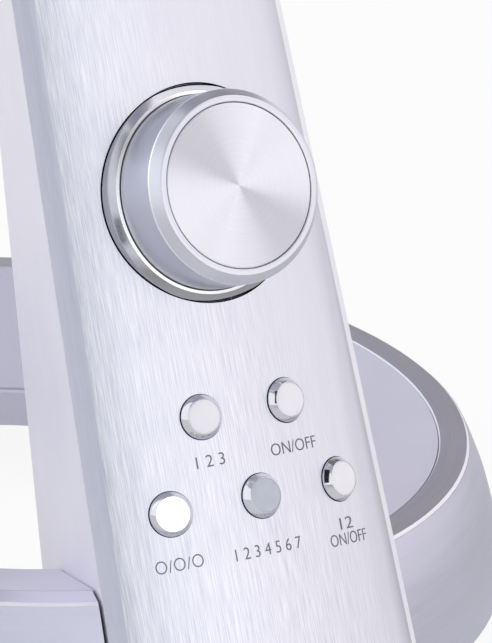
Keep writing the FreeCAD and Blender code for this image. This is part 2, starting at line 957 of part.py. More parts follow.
def hinge_washers():
    """Friction washers between the knuckle and the ears."""
    solids = []
    for side in (-1, 1):
        inner = V(side * (knuckle_half_width + seat_gap), 0, 0)
        outer = V(side * washer_outside, 0, 0)
        solids.append(tube(knuckle_radius - hinge_washer_step, pin_radius + running / 2,
                           inner, outer))
    return moved(Part.makeCompound(solids), hinge_centre)


def hinge_caps():
    """Satin discs glued over the ends of the hinge pin."""
    face = ear_outside + press_fit
    profile = [(0, face), (cap_radius, face), (cap_radius, face + cap_height - cap_edge),
               (cap_radius - cap_edge, face + cap_height), (0, face + cap_height)]
    solids = []
    for side in (-1, 1):
        cap = turned(profile)
        cap.rotate(V(0, 0, 0), Y_AXIS, 90 * side)
        solids.append(cap)
    return moved(Part.makeCompound(solids), hinge_centre)


platform_top = platform_rise + platform_thickness
spindle_foot = platform_top - spindle_depth


def tilt_knuckle():
    """Barrel on the hinge pin, with the round platform that the head turns on."""
    barrel = rod(knuckle_radius, V(-knuckle_half_width, 0, 0), V(knuckle_half_width, 0, 0))
    neck = rod(neck_radius, V(0, 0, 0), V(0, 0, platform_top))
    platform = turned([(0, platform_rise), (platform_radius - platform_edge, platform_rise),
                       (platform_radius, platform_rise + platform_edge),
                       (platform_radius, platform_top), (0, platform_top)])
    body = barrel.fuse(neck).fuse(platform)
    body = body.cut(rod(pin_radius + running, V(-knuckle_half_width, 0, 0),
                        V(knuckle_half_width, 0, 0)))
    body = body.cut(rod(spindle_radius + press_fit, V(0, 0, spindle_foot - spindle_floor),
                        V(0, 0, platform_top)))
    return moved(body, hinge_centre)


head_underside = platform_top + swivel_washer + 2 * seat_gap


def swivel_washer_ring():
    low = platform_top + seat_gap
    ring = tube(platform_radius - swivel_washer_step, spindle_radius + head_play, V(0, 0, low),
                V(0, 0, low + swivel_washer))
    return moved(ring, hinge_centre)


def swivel_spindle():
    """Pin pressed into the knuckle, whose broad head holds the mount plate down."""
    seat = head_underside + mount_plate_thickness + seat_gap
    shank = rod(spindle_radius, V(0, 0, spindle_foot), V(0, 0, seat))
    head = rod(spindle_head_radius, V(0, 0, seat), V(0, 0, seat + spindle_head_height))
    return moved(shank.fuse(head), hinge_centre)


# Head, made with the swivel axis at x = y = 0 and its underside at z = 0

tip_y = head_rear_overhang - head_length
plate_front_y = head_rear_overhang - mount_plate_length
roof_underside = head_height - head_roof
head_board_low = roof_underside - seat_gap - head_board_thickness


def head_outline(inset, height):
    """The bar's plan: round at the back, tapered to a blunt tip with soft corners."""
    wide = head_rear_half_width - inset
    narrow = head_tip_half_width - inset
    corner = head_tip_corner - inset / 2
    front = tip_y + inset
    back = head_rear_overhang - inset
    shoulder = back - wide
    bend = corner * (1 - math.sqrt(0.5))
    edges = [Part.Arc(V(wide, shoulder, 0), V(0, back, 0), V(-wide, shoulder, 0)).toShape(),
             Part.makeLine(V(-wide, shoulder, 0), V(-narrow, front + corner, 0)),
             Part.Arc(V(-narrow, front + corner, 0), V(-narrow + bend, front + bend, 0),
                      V(-narrow + corner, front, 0)).toShape(),
             Part.makeLine(V(-narrow + corner, front, 0), V(narrow - corner, front, 0)),
             Part.Arc(V(narrow - corner, front, 0), V(narrow - bend, front + bend, 0),
                      V(narrow, front + corner, 0)).toShape(),
             Part.makeLine(V(narrow, front + corner, 0), V(wide, shoulder, 0))]
    return Part.Face(Part.Wire(edges)).extrude(V(0, 0, height))


def at_head(shape):
    return moved(shape, hinge_centre + Z_AXIS * head_underside)


def head_screw_places():
    front_y = plate_front_y + head_screw_margin
    return [(side * head_screw_spread, y) for y in (0, front_y) for side in (-1, 1)]


def head_housing():
    """Thin-walled bar, open below, with a rounded top edge and four screw bosses."""
    top = head_outline(0, head_height)
    level = 1e-6
    edges = [e for e in top.Edges
             if abs(e.BoundBox.ZMin - head_height) < level and e.BoundBox.ZLength < level]
    shell = top.makeFillet(head_wall, edges)
    shell = shell.cut(moved(head_outline(head_wall, roof_underside + cut_margin),
                            V(0, 0, -cut_margin)))
    for x, y in head_screw_places():
        boss = rod(head_boss_radius, V(x, y, mount_plate_thickness + seat_gap),
                   V(x, y, roof_underside))
        shell = shell.fuse(boss)
    for x, y in head_screw_places():
        shell = shell.cut(rod(screw_radius + screw_play, V(x, y, 0),
                              V(x, y, screw_length + seat_gap)))
    return at_head(shell)


def head_mount_plate():
    """Steel plate under the back of the bar, which turns on the spindle."""
    plate = head_outline(head_wall + head_fit, mount_plate_thickness)
    plate = plate.common(box(-reach, reach, plate_front_y, reach, 0, reach))
    plate = plate.cut(clear_hole(spindle_radius + running, (0, 0)))
    for place in head_screw_places():
        plate = plate.cut(clear_hole(screw_radius + head_play, place))
        plate = plate.cut(rod(screw_head_radius + head_play, V(place[0], place[1], 0),
                              V(place[0], place[1], screw_head_height)))
    return at_head(plate)


def head_screws():
    solids = [screw(V(x, y, 0), Z_AXIS) for x, y in head_screw_places()]
    return at_head(Part.makeCompound(solids))


def head_diffuser():
    plate = head_outline(head_wall + head_fit, head_diffuser_thickness)
    return at_head(plate.common(box(-reach, reach, -reach, plate_front_y - head_fit, 0, reach)))


def head_inside(inset, low, high):
    """A plate of the bar's plan in front of the mount plate, between two heights."""
    body = moved(head_outline(inset, high - low), V(0, 0, low))
    return body.common(box(-reach, reach, -reach, plate_front_y - head_board_setback, 0, reach))


def head_led_board():
    return at_head(head_inside(head_board_margin, head_board_low,
                               head_board_low + head_board_thickness))


def head_reflector():
    """White film on the board, with windows for the light sources."""
    high = head_board_low - press_fit
    sheet = head_inside(head_board_margin, high - reflector_thickness, high)
    half = head_led_size / 2 + reflector_window
    for x, y in head_led_places():
        sheet = sheet.cut(box(x - half, x + half, y - half, y + half, 0, reach))
    return at_head(sheet)


def head_led_places():
    """Two rows along the bar."""
    rows = head_led_count // 2
    start = plate_front_y - head_led_margin
    end = tip_y + head_led_margin
    return [(side * head_led_spread, start + (end - start) * k / (rows - 1))
            for k in range(rows) for side in (-1, 1)]


def head_leds():
    half = head_led_size / 2
    solids = [box(x - half, x + half, y - half, y + half,
                  head_board_low - head_led_height, head_board_low)
              for x, y in head_led_places()]
    return at_head(Part.makeCompound(solids))


# The origin is the middle of the lamp's own box, on the desk

front_end = hinge_centre.y + tip_y
back_end = max(wall_radius(foot_height), hinge_centre.y + head_rear_overhang)
to_origin = V(0, -(front_end + back_end) / 2, 0)


def save(name, shape):
    out = moved(shape, to_origin)
    if not out.isValid():
        print("not valid:", name)
    out.exportStep("parts/" + name + ".step")
    size = out.BoundBox
    print("%-26s %2d solids %9.1f mm3  z %.1f to %.1f" % (
        name, len(out.Solids), out.Volume, size.ZMin, size.ZMax))


def build():
    os.makedirs("parts", exist_ok=True)
    save("base_housing", base_housing())
    save("night_light_diffuser", night_light_diffuser())
    save("inner_collar", inner_collar())
    save("reflector_tray", reflector_tray())
    save("led_ring_board", led_ring_board())
    save("night_light_leds", night_light_leds())
    save("ballast_ring", ballast_ring())
    save("base_plate", base_plate())
    save("rubber_feet", rubber_feet())
    save("base_screws", base_screws())
    save("dc_inlet", dc_inlet())
    save("front_panel", front_panel())
    save("column_shell", shell_with_screw_holes())
    save("column_foot", column_foot())
    save("foot_screws", foot_screws())
    save("driver_board", driver_board())
    save("driver_parts", driver_parts())
    save("control_board", on_column(control_board()))
    save("wire_loom", wire_loom())
    save("encoder_body", on_column(encoder_body()))
    save("encoder_nut", on_column(encoder_nut()))
    save("encoder_shaft", on_column(encoder_shaft()))
    save("knob_bezel", on_column(knob_bezel()))
    save("knob_body", on_column(at_knob(knob_body())))
    save("knob_disc", on_column(at_knob(knob_disc())))
    save("button_carrier", on_column(button_carrier()))
    switches = [button.place(tact_switch()) for button in buttons]
    save("tact_switches", on_column(Part.makeCompound(switches)))
    for button in buttons:
        save(button.name + "_button", on_column(button.place(button_cap())))
        save(button.name + "_lens", on_column(button.place(button_lens())))
    save("column_yoke", column_yoke())
    save("yoke_screws", yoke_screws())
    save("hinge_pin", hinge_pin())
    save("hinge_nut", hinge_nut())
    save("hinge_washers", hinge_washers())
    save("hinge_caps", hinge_caps())
    save("tilt_knuckle", tilt_knuckle())
    save("swivel_washer", swivel_washer_ring())
    save("swivel_spindle", swivel_spindle())
    save("head_housing", head_housing())
    save("head_mount_plate", head_mount_plate())
    save("head_diffuser", head_diffuser())
    save("head_led_board", head_led_board())
    save("head_reflector", head_reflector())
    save("head_leds", head_leds())
    save("head_screws", head_screws())
    centre = hinge_centre + to_origin
    print("hinge centre", [round(c, 4) for c in centre])
    print("ring centre y", round(to_origin.y, 4))
    print("front pad y", round(to_origin.y + toe_y + front_pad_setback, 4))
    for button in buttons:
        turn = math.radians(button.turn)
        inward = column_place.Rotation.multVec(V(-math.sin(turn), math.cos(turn), 0))
        seat = column_place.multVec(button.seat) + to_origin
        print(button.name, [round(c, 4) for c in seat], [round(c, 5) for c in inward])
    knob = column_place.multVec(V(0, 0, knob_height)) + to_origin
    print("knob", [round(c, 4) for c in knob], [round(c, 5) for c in -lean_in])


build()
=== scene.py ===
# Desk lamp with a lit ring base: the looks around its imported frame.
# Lengths in the dictionaries are millimetres, angles are degrees.
import json
import math

import bpy
from mathutils import Matrix, Vector

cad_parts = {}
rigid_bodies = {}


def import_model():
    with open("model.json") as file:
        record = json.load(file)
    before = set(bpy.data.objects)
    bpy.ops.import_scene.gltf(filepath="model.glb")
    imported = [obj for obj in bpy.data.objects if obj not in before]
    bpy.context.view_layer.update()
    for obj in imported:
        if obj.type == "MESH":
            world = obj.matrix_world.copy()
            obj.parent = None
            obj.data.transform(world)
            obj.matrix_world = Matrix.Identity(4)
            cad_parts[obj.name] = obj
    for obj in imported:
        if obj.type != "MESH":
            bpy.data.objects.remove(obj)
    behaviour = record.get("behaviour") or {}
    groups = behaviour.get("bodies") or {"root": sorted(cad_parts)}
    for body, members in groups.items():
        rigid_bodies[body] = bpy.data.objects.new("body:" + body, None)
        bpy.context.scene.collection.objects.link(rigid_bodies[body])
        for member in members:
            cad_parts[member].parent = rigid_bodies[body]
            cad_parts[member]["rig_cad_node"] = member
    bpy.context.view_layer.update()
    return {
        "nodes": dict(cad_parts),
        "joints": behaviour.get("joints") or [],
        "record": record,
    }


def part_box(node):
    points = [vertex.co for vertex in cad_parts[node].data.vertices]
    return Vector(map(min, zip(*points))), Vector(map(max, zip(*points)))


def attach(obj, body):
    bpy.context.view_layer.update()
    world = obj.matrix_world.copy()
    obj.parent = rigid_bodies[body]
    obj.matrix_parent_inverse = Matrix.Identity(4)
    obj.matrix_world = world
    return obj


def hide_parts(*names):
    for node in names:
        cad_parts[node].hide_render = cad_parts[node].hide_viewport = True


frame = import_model()
mm = 0.001
joints = {joint["name"]: joint for joint in frame["joints"]}
bodyOf = {node: body for body, nodes in frame["record"]["behaviour"]["bodies"].items() for node in nodes}
slotOf = {part["node"]: part["material_slot"] for part in frame["record"]["subparts"]}
knobPlace = Vector(joints["knob_turn"]["pos_m"])
knobOut = Vector(joints["knob_turn"]["axis"]).normalized()
inward = -knobOut
columnUp = Vector((0, knobOut.z, -knobOut.y))
columnLean = math.atan2(columnUp.y, columnUp.z)
column = {
    "knobHeight": 85.0,      # from the column's low end to the knob's axis
    "frontRadius": 84.0,     # the front is a slice of a cylinder this big
}
columnPlace = knobPlace - column["knobHeight"] * mm * columnUp
frontRadius = column["frontRadius"] * mm
weld = 0.002 * mm            # points nearer than this are one point
softEdge = {
    "flat": 0.3,             # triangles that meet flatter than this are one face
    "corner": 30,            # edges sharper than this are broken
    "smooth": 38,            # edges flatter than this are shaded smooth
    "segments": 3,
}


def tell(words):
    print("scene:", words)


def deselect():
    bpy.ops.object.select_all(action="DESELECT")


def pick(piece):
    deselect()
    piece.select_set(True)
    bpy.context.view_layer.objects.active = piece


def middle(node):
    low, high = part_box(node)
    return (low + high) / 2


def placed(piece, matrix):
    # a piece drawn at the origin goes to its place, and the place is kept in its mesh
    pick(piece)
    piece.matrix_world = matrix
    bpy.ops.object.transform_apply(location=True, rotation=True, scale=True)


def facing(out, place):
    # local Z points out of the front, local Y runs up the column
    turn = Matrix((columnUp.cross(out), columnUp, out)).transposed().to_4x4()
    return Matrix.Translation(place) @ turn


def applyModifier(piece, kind, **settings):
    pick(piece)
    modifier = piece.modifiers.new(kind.title(), kind)
    for key, value in settings.items():
        setattr(modifier, key, value)
    bpy.ops.object.modifier_apply(modifier=modifier.name)


def softenEdges(piece, width):
    # a machined edge is broken by a hair, and that hair catches the light
    if width:
        applyModifier(piece, "BEVEL", width=width * mm, segments=softEdge["segments"], limit_method="ANGLE",
                      angle_limit=math.radians(softEdge["corner"]), use_clamp_overlap=True)
    pick(piece)
    bpy.ops.object.shade_smooth_by_angle(angle=math.radians(softEdge["smooth"]))
    applyModifier(piece, "WEIGHTED_NORMAL", keep_sharp=True, weight=50)


# Materials

def linear(hexValue):
    # an sRGB hex value turned into the linear colour that the shader takes
    parts = [int(hexValue[i:i + 2], 16) / 255 for i in (0, 2, 4)]
    return (*[c / 12.92 if c <= 0.04045 else ((c + 0.055) / 1.055) ** 2.4 for c in parts], 1.0)


def addNode(tree, kind, inputs=None, **settings):
    node = tree.nodes.new(kind)
    for key, value in settings.items():
        setattr(node, key, value)
    for key, value in (inputs or {}).items():
        if isinstance(value, bpy.types.NodeSocket):
            tree.links.new(value, node.inputs[key])
        else:
            node.inputs[key].default_value = value
    return node


def maths(tree, operation, *values):
    return addNode(tree, "ShaderNodeMath", dict(enumerate(values)), operation=operation).outputs[0]


def vectorMaths(tree, operation, *values):
    node = addNode(tree, "ShaderNodeVectorMath", dict(enumerate(values)), operation=operation)
    return node.outputs["Value" if operation in ("DOT_PRODUCT", "LENGTH", "DISTANCE") else "Vector"]


def ranged(tree, value, fromLow, fromHigh, toLow=0.0, toHigh=1.0, **settings):
    inputs = dict(enumerate((value, fromLow, fromHigh, toLow, toHigh)))
    return addNode(tree, "ShaderNodeMapRange", inputs, **settings).outputs[0]


def smoothRanged(tree, value, fromLow, fromHigh, toLow=0.0, toHigh=1.0):
    return ranged(tree, value, fromLow, fromHigh, toLow, toHigh, interpolation_type="SMOOTHSTEP")


def mixed(tree, share, one, other):
    return addNode(tree, "ShaderNodeMix", {0: share, 2: one, 3: other}).outputs[0]


def mixedColour(tree, share, one, other):
    return addNode(tree, "ShaderNodeMix", {0: share, 6: one, 7: other}, data_type="RGBA").outputs[2]


def startMaterial(name, sockets):
    material = bpy.data.materials.new(name)
    material.use_nodes = True
    tree = material.node_tree
    tree.nodes.clear()
    shader = addNode(tree, "ShaderNodeBsdfPrincipled", sockets)
    addNode(tree, "ShaderNodeOutputMaterial", {"Surface": shader.outputs[0]})
    spot = addNode(tree, "ShaderNodeTexCoord").outputs["Object"]
    return material, tree, shader, spot


def stretchedNoise(tree, vector, steps, detail, low, high):
    # steps: the size in mm of one blotch along each axis, 0 where the pattern never changes
    scale = [1 / (step * mm) if step else 0 for step in steps]
    sized = vectorMaths(tree, "MULTIPLY", vector, scale)
    noise = addNode(tree, "ShaderNodeTexNoise",
                    {"Vector": sized, "Scale": 1.0, "Detail": detail, "Roughness": 0.6})
    return ranged(tree, noise.outputs[0], low, high)


def finishSurface(tree, shader, fine, wide, look):
    # fine marks tint the colour, set the gloss and stand up as relief; wide ones only tint
    both = maths(tree, "MULTIPLY_ADD", fine, look["fineShare"], wide)
    share = ranged(tree, both, 0.0, 1 + look["fineShare"])
    colour = mixedColour(tree, share, linear(look["dark"]), linear(look["light"]))
    gloss = ranged(tree, fine, 0.0, 1.0, *look["roughness"])
    relief = addNode(tree, "ShaderNodeBump",
                     {"Strength": 1.0, "Distance": look["relief"] * mm, "Height": fine})
    tree.links.new(colour, shader.inputs["Base Color"])
    tree.links.new(gloss, shader.inputs["Roughness"])
    tree.links.new(relief.outputs[0], shader.inputs["Normal"])


# The brush bites deepest low down by the front's edge at -X. From there the hairs calm down:
# a place counts by its height above "level" times "slope", plus its distance across.
brushBite = {"level": 140, "slope": 0.25, "deepest": -34, "calmest": 4}


def brushedColumn(name, look):
    # Anodised aluminium brushed lengthwise: thin light and dark hairs up the column, a soft
    # sheen that spreads sideways. Real hairs are 0.05 mm wide, drawn 0.3 mm so that they show.
    material, tree, shader, spot = startMaterial(name, {"Metallic": 1.0, "Anisotropic": look["sheen"]})
    upright = addNode(tree, "ShaderNodeVectorRotate", {"Vector": spot, "Angle": columnLean},
                      rotation_type="X_AXIS").outputs[0]
    fine = stretchedNoise(tree, upright, (look["hairWidth"], 0, look["hairLength"]), 3, 0.3, 0.7)
    wide = stretchedNoise(tree, upright, (look["bandWidth"], 0, look["bandLength"]), 2, 0.2, 0.8)
    axes = addNode(tree, "ShaderNodeSeparateXYZ", {0: upright}).outputs
    raised = maths(tree, "SUBTRACT", axes[2], columnPlace.dot(columnUp) + brushBite["level"] * mm)
    away = maths(tree, "MULTIPLY_ADD", raised, brushBite["slope"], axes[0])
    depth = smoothRanged(tree, away, brushBite["deepest"] * mm, brushBite["calmest"] * mm, 1.0, look["calm"])
    finishSurface(tree, shader, mixed(tree, depth, 0.5, fine), wide, look)
    normal = addNode(tree, "ShaderNodeNewGeometry").outputs["Normal"]
    tree.links.new(vectorMaths(tree, "CROSS_PRODUCT", columnUp, normal), shader.inputs["Tangent"])
    return material


def brushedRing(name, look, centre):
    # The same aluminium brushed round the ring on its lathe: hairs run level round the wall
    # and in circles on the rim.
    material, tree, shader, spot = startMaterial(name, {"Metallic": 1.0})
    arm = vectorMaths(tree, "SUBTRACT", spot, centre)
    flat = vectorMaths(tree, "MULTIPLY", arm, (1, 1, 0))
    turns = vectorMaths(tree, "MULTIPLY", vectorMaths(tree, "NORMALIZE", flat), (ring["rimRadius"] * mm,) * 3)
    height = addNode(tree, "ShaderNodeSeparateXYZ", {0: arm}).outputs[2]
    level = maths(tree, "ADD", height, vectorMaths(tree, "LENGTH", flat))
    lift = addNode(tree, "ShaderNodeCombineXYZ", {2: level}).outputs[0]
    unrolled = vectorMaths(tree, "ADD", turns, lift)
    hair, band = look["hairLength"], look["bandLength"]
    fine = stretchedNoise(tree, unrolled, (hair, hair, look["hairWidth"]), 3, 0.3, 0.7)
    wide = stretchedNoise(tree, unrolled, (band, band, look["bandWidth"]), 2, 0.3, 0.7)
    finishSurface(tree, shader, fine, wide, look)
    return material


def spunDisc(name, look):
    # Aluminium faced on a lathe: fine circles that spread light across them, so it stands in
    # bright and dark wedges. The tool leaves 0.1 mm circles, drawn wider so that they show.
    material, tree, shader, spot = startMaterial(name, {"Metallic": 1.0, "Anisotropic": look["sheen"]})
    arm = vectorMaths(tree, "SUBTRACT", spot, knobPlace)
    around = vectorMaths(tree, "CROSS_PRODUCT", knobOut, arm)
    radius = addNode(tree, "ShaderNodeCombineXYZ", {0: vectorMaths(tree, "LENGTH", around)}).outputs[0]
    fine = stretchedNoise(tree, radius, (look["grooveWidth"], 0, 0), 2, 0.3, 0.7)
    wide = stretchedNoise(tree, radius, (look["bandWidth"], 0, 0), 2, 0.3, 0.7)
    finishSurface(tree, shader, fine, wide, look)
    outward = vectorMaths(tree, "CROSS_PRODUCT", around, knobOut)
    world = addNode(tree, "ShaderNodeVectorTransform", {0: outward}, vector_type="VECTOR",
                    convert_from="OBJECT", convert_to="WORLD").outputs[0]
    tree.links.new(world, shader.inputs["Tangent"])
    return material


def grained(name, look, sockets):
    # any blasted, moulded, cast or plated finish: an even grain with a slow drift of tone
    material, tree, shader, spot = startMaterial(name, sockets)
    fine = stretchedNoise(tree, spot, (look["grain"],) * 3, 2, 0.25, 0.75)
    wide = stretchedNoise(tree, spot, (look["drift"],) * 3, 1, 0.3, 0.7)
    finishSurface(tree, shader, fine, wide, look)
    return material


ringPlace = middle("inner_collar")
# where the ring's finishes lie, among them the paler top and the bright mouth and shoulder, which are painted
# light: the height above which, the radius within or beyond which, and how far the faces turn up, from 0 for a
# wall to 1 for a flat top
ring = {
    "rimRadius": 100.0, "rimHeight": 30.0, "rimFacing": (0.95, 2),
    "mouthHeight": 33.0, "mouthWithin": 95.0, "mouthFacing": (0.75, 0.95),
    "shoulderHeight": 33.4, "shoulderBeyond": 99.0, "shoulderFacing": (0.2, 0.95),
}
panelLook = {"dark": "C5C7D8", "light": "F3F3FA", "roughness": (0.34, 0.42), "relief": 0.02, "sheen": 0.5,
             "hairWidth": 0.3, "hairLength": 9, "bandWidth": 4.0, "bandLength": 60, "fineShare": 8.0,
             "calm": 0.13}
# the left cut's look: a greyer copy of the panel's, the grey being painted shade
shadedStripLook = dict(panelLook, dark="CFD1E0", light="D7D9E8", sheen=0.3, relief=0.003, calm=1.0)
ringLook = {"dark": "C8C9D9", "light": "D0D0E1", "roughness": (0.34, 0.42), "relief": 0.004,
            "hairWidth": 0.4, "hairLength": 25, "bandWidth": 2.0, "bandLength": 90, "fineShare": 6.0}
# the rim's look: a paler, smoother copy of the ring's, the paler tone being painted light
paintedLightRimLook = dict(ringLook, dark="CDCCDC", light="D7D6E5", relief=0.002)
satinLook = {"dark": "F5F3FD", "light": "FAF8FF", "roughness": (0.48, 0.54), "relief": 0.0015,
             "grain": 0.2, "drift": 18, "fineShare": 0.3}
skirtLook = dict(satinLook, dark="D8D9E4", light="E0E1EC", roughness=(0.30, 0.36))
# the broken edges' look: a brighter, glossier satin for painted highlight lines
highlightEdgeLook = dict(satinLook, dark="FAFAFD", light="FFFFFF", roughness=(0.22, 0.28))
discLook = {"dark": "E4E5EF", "light": "F1F2F9", "roughness": (0.33, 0.37), "relief": 0.006, "sheen": 1.0,
            "grooveWidth": 0.3, "bandWidth": 1.6, "fineShare": 8.0}
chromeLook = {"dark": "DADAE2", "light": "E6E6EC", "roughness": (0.05, 0.09), "relief": 0.0,
              "grain": 1.0, "drift": 12, "fineShare": 0.2}
# the cup walls' look: a darker, duller copy of the chrome for painted shade
shadedCupWallLook = dict(chromeLook, dark="B9B9C2", light="C6C6CE", roughness=(0.12, 0.18))
opalLook = {"dark": "C9C8DB", "light": "D0CFE0", "roughness": (0.34, 0.42), "relief": 0.001,
            "grain": 0.4, "drift": 25, "fineShare": 0.3}
lensLook = dict(opalLook, dark="F5F3FC", light="FAF8FF", drift=4)
# the night-light window's look: blue-grey for painted shade
dimLook = dict(lensLook, dark="BFC2D1", light="CBCEDC")

finishes = {
    "brushed_aluminium": brushedColumn("brushedAnodisedAluminium", panelLook),
    # bead-blasted and anodised: an even satin that holds only the broadest lights and darks
    "satin_aluminium": grained("blastedAnodisedAluminium", satinLook, {"Metallic": 0.5}),
    "spun_aluminium": spunDisc("spunAluminium", discLook),
    # polished chromium plate: a hard, nearly clear mirror
    "chrome_plate": grained("chromePlate", chromeLook, {"Metallic": 1.0}),
    # cast opal acrylic with a satin face: light goes in a little way and comes out soft
    "opal_acrylic": grained("opalAcrylic", opalLook,
                            {"IOR": 1.49, "Subsurface Weight": 0.25, "Subsurface Radius": (0.9, 0.9, 1.0),
                             "Subsurface Scale": 2 * mm}),
    # the buttons' polycarbonate windows, milky and satin
    "button_lens": grained("milkyPolycarbonate", lensLook,
                           {"IOR": 1.58, "Subsurface Weight": 0.3, "Subsurface Radius": (1, 1, 1),
                            "Subsurface Scale": 0.8 * mm}),
    # injection-moulded ABS: a spark-eroded grain on the grey, smoother on the white and the black
    "grey_abs": grained("mouldedGreyAbs",
                        {"dark": "CDCCDD", "light": "D7D6E5", "roughness": (0.42, 0.55), "relief": 0.01,
                         "grain": 0.35, "drift": 20, "fineShare": 0.4}, {"IOR": 1.54}),
    "white_abs": grained("mouldedWhiteAbs",
                         {"dark": "E4E4E6", "light": "EEEEEE", "roughness": (0.30, 0.42), "relief": 0.004,
                          "grain": 0.4, "drift": 20, "fineShare": 0.4}, {"IOR": 1.54}),
    "black_abs": grained("mouldedBlackAbs",
                         {"dark": "17171A", "light": "232327", "roughness": (0.35, 0.5), "relief": 0.008,
                          "grain": 0.3, "drift": 10, "fineShare": 0.6}, {"IOR": 1.54}),
    # white solder mask over glass-fibre laminate, where the weave lifts the gloss by a hair
    "circuit_board": grained("whiteSolderMask",
                             {"dark": "DDE0DC", "light": "EAECE8", "roughness": (0.2, 0.32), "relief": 0.004,
                              "grain": 0.5, "drift": 14, "fineShare": 0.5}, {"IOR": 1.55}),
    # cast resin full of yellow phosphor: glossy, with a speckle of grains
    "led_package": grained("phosphorResin",
                           {"dark": "E3CF73", "light": "F0DF8E", "roughness": (0.25, 0.4), "relief": 0.006,
                            "grain": 0.2, "drift": 2, "fineShare": 0.8}, {"IOR": 1.5}),
    # grey iron as cast, sealed with thin paint: rough skin that stays matt
    "cast_ballast": grained("paintedCastIron",
                            {"dark": "2C2C2F", "light": "3E3E41", "roughness": (0.55, 0.8), "relief": 0.12,
                             "grain": 0.9, "drift": 12, "fineShare": 1.0}, {"IOR": 1.5}),
    # bright zinc plate: a cloudy grey spangle
    "zinc_steel": grained("zincPlatedSteel",
                          {"dark": "A9ABAF", "light": "C2C4C8", "roughness": (0.28, 0.45), "relief": 0.004,
                           "grain": 0.8, "drift": 7, "fineShare": 0.7}, {"Metallic": 1.0}),
    # silver powder paint on sheet steel: metal flake under a satin skin
    "satin_steel": grained("silverPaintedSteel",
                           {"dark": "C9C8D4", "light": "D9D8E3", "roughness": (0.32, 0.44), "relief": 0.006,
                            "grain": 0.3, "drift": 16, "fineShare": 0.6}, {"Metallic": 0.8}),
    # nickel plate: warmer than zinc, and shinier
    "screw_steel": grained("nickelPlatedSteel",
                           {"dark": "A39F99", "light": "BDB9B2", "roughness": (0.18, 0.3), "relief": 0.003,
                            "grain": 0.3, "drift": 3, "fineShare": 0.6}, {"Metallic": 1.0}),
    # cured rubber, matt, with a dusty bloom
    "black_rubber": grained("mattRubber",
                            {"dark": "1B1B1C", "light": "2A2A2B", "roughness": (0.7, 0.88), "relief": 0.03,
                             "grain": 0.4, "drift": 5, "fineShare": 0.8}, {"IOR": 1.52}),
    # black nylon as moulded: a dull, slightly waxy face
    "black_nylon": grained("mouldedNylon",
                           {"dark": "1C1C1F", "light": "29292C", "roughness": (0.4, 0.52), "relief": 0.006,
                            "grain": 0.3, "drift": 6, "fineShare": 0.5}, {"IOR": 1.53}),
    # extruded wire sheath: soft white with a faint drag of the die
    "wire_pvc": grained("extrudedPvc",
                        {"dark": "D5D5D5", "light": "E2E2E2", "roughness": (0.38, 0.5), "relief": 0.01,
                         "grain": 0.6, "drift": 6, "fineShare": 0.5}, {"IOR": 1.53}),
}
# the 45 degree cut down the front's edge at -X: same metal, finer, and greyer, the grey being painted shade
paintedShadeStripFinish = brushedColumn("paintedShadeCutEdge", shadedStripLook)
ringFinish = brushedRing("latheBrushedAluminium", ringLook, ringPlace)
# the rim's top faces: the ring's metal, paler as painted light
paintedLightRimFinish = brushedRing("paintedLightRim", paintedLightRimLook, ringPlace)
skirtFinish = grained("turnedSatinAluminium", skirtLook, {"Metallic": 1.0})
# on broken edges the metal is painted brighter than the blasted faces beside it: painted highlight lines
paintedHighlightFinish = grained("paintedHighlightEdge", highlightEdgeLook, {"Metallic": 1.0})
# the cup's walls and bevel get a darker, duller copy of the chrome than its front: painted shade
paintedShadeCupWallFinish = grained("paintedShadeCupWall", shadedCupWallLook, {"Metallic": 1.0})
# the colour-light button is lit, so its window is plain bright white
litFinish = grained("litPolycarbonate", lensLook, {"IOR": 1.58, "Emission Color": linear("FFFFFF"),
                                                  "Emission Strength": 1.0})
# the night-light button's window looks into a dark well: its blue-grey is painted shade
dimFinish = grained("paintedShadeWindow", dimLook, {"IOR": 1.58})
# near black and dull, laid in the thin gaps round the knob's cup and the buttons: painted shadow lines
paintedShadowFinish = grained("paintedShadowGap",
                       {"dark": "060607", "light": "0C0C0E", "roughness": (0.8, 0.95), "relief": 0.01,
                        "grain": 0.2, "drift": 4, "fineShare": 0.6}, {"IOR": 1.45, "Specular IOR Level": 0.15})
# screen-printed epoxy ink: flat grey, a little raised and a little uneven
inkFinish = grained("screenPrintedInk",
                    {"dark": "6A6A74", "light": "787882", "roughness": (0.5, 0.62), "relief": 0.002,
                     "grain": 0.15, "drift": 3, "fineShare": 0.6}, {"IOR": 1.5})

for nodeName, node in frame["nodes"].items():
    node.data.materials.clear()
    node.data.materials.append(finishes[slotOf[nodeName]])
tell("%d finishes on %d frame nodes" % (len(finishes), len(frame["nodes"])))


# Pieces finished from the frame's own solids

def refined(nodeName, pieceName, edge):
    # a copy of the solid, its loose triangles merged, with its edges broken and shaded smooth
    pick(frame["nodes"][nodeName])
    bpy.ops.object.duplicate()
    piece = bpy.context.object
    piece.name = piece.data.name = pieceName
    del piece["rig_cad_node"]
    bpy.ops.mesh.customdata_custom_splitnormals_clear()
    bpy.ops.object.mode_set(mode="EDIT")
    bpy.ops.mesh.select_all(action="SELECT")
    bpy.ops.mesh.remove_doubles(threshold=weld)
    bpy.ops.mesh.dissolve_limited(angle_limit=math.radians(softEdge["flat"]))
    bpy.ops.object.mode_set(mode="OBJECT")
    softenEdges(piece, edge)
    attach(piece, bodyOf[nodeName])
    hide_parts(nodeName)
    return piece


def coat(piece, material, test):
    # the faces that pass the test get another finish
    piece.data.materials.append(material)
    index = len(piece.data.materials) - 1
    for part in piece.data.polygons:
        if test(part):
            part.material_index = index


def between(value, span):
    return span[0] < value < span[1]


def fromRingAxis(point):
    return (point - ringPlace).to_2d().length


